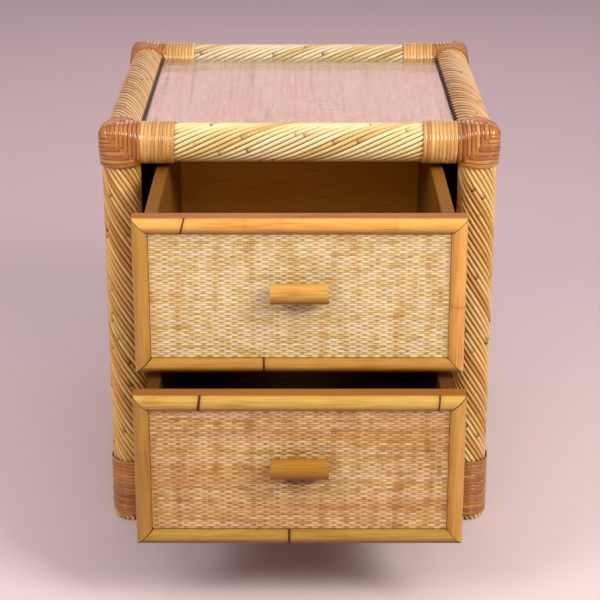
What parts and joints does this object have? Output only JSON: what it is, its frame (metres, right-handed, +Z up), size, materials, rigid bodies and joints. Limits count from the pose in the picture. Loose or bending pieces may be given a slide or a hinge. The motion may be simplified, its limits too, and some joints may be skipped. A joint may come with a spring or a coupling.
{
  "type": "rattan nightstand",
  "caption": "Bedside cabinet of reed-wrapped rattan poles with bound corners, a glass-covered woven top and woven-front drawers that slide on wooden runners.",
  "frame": {"origin": "on the floor, midway between the four feet", "axes": "+Z up, -Y out of the front towards the user, +X to the right when facing the front"},
  "size_m": [0.452, 0.6835, 0.492],
  "materials": {
    "reed": "lacquered pencil reed",
    "binding": "lacquered rattan peel",
    "cane": "lacquered split cane with nodes",
    "weave": "plain-woven split reed",
    "board": "stained plywood and solid wood",
    "pole": "peeled rattan pole",
    "glass": "clear float glass",
    "screw": "plain steel"
  },
  "bodies": {
    "case": {"back_panel": "board", "base_panel": "board", "corner_binding_front_left": "binding", "corner_binding_front_right": "binding", "corner_binding_rear_left": "binding", "corner_binding_rear_right": "binding", "drawer_runners": "board", "foot_binding_front_left": "binding", "foot_binding_front_right": "binding", "foot_binding_rear_left": "binding", "foot_binding_rear_right": "binding", "glass_top": "glass", "lower_rail_front": "pole", "lower_rail_left": "pole", "lower_rail_rear": "pole", "lower_rail_right": "pole", "post_core_front_left": "pole", "post_core_front_right": "pole", "post_core_rear_left": "pole", "post_core_rear_right": "pole", "post_reeds_front_left": "reed", "post_reeds_front_right": "reed", "post_reeds_rear_left": "reed", "post_reeds_rear_right": "reed", "rail_dowels": "pole", "side_mat_left": "weave", "side_mat_right": "weave", "side_panel_left": "board", "side_panel_right": "board", "top_cleats": "board", "top_mat": "weave", "top_panel": "board", "top_rail_core_front": "pole", "top_rail_core_left": "pole", "top_rail_core_rear": "pole", "top_rail_core_right": "pole", "top_rail_reeds_front": "reed", "top_rail_reeds_left": "reed", "top_rail_reeds_rear": "reed", "top_rail_reeds_right": "reed"},
    "upper_drawer": {"upper_back": "board", "upper_bottom": "board", "upper_front_board": "board", "upper_front_mat": "weave", "upper_front_trim": "cane", "upper_pull": "cane", "upper_pull_block": "board", "upper_pull_screws": "screw", "upper_side_left": "board", "upper_side_right": "board"},
    "lower_drawer": {"lower_back": "board", "lower_bottom": "board", "lower_front_board": "board", "lower_front_mat": "weave", "lower_front_trim": "cane", "lower_pull": "cane", "lower_pull_block": "board", "lower_pull_screws": "screw", "lower_side_left": "board", "lower_side_right": "board"}
  },
  "joints": [
    {"name": "upper_drawer_slide", "type": "slide", "parent": "case", "child": "upper_drawer", "axis": [0, -1, 0], "range_m": [-0.1647, 0.0953]},
    {"name": "lower_drawer_slide", "type": "slide", "parent": "case", "child": "lower_drawer", "axis": [0, -1, 0], "range_m": [-0.2105, 0.0495]}
  ]
}
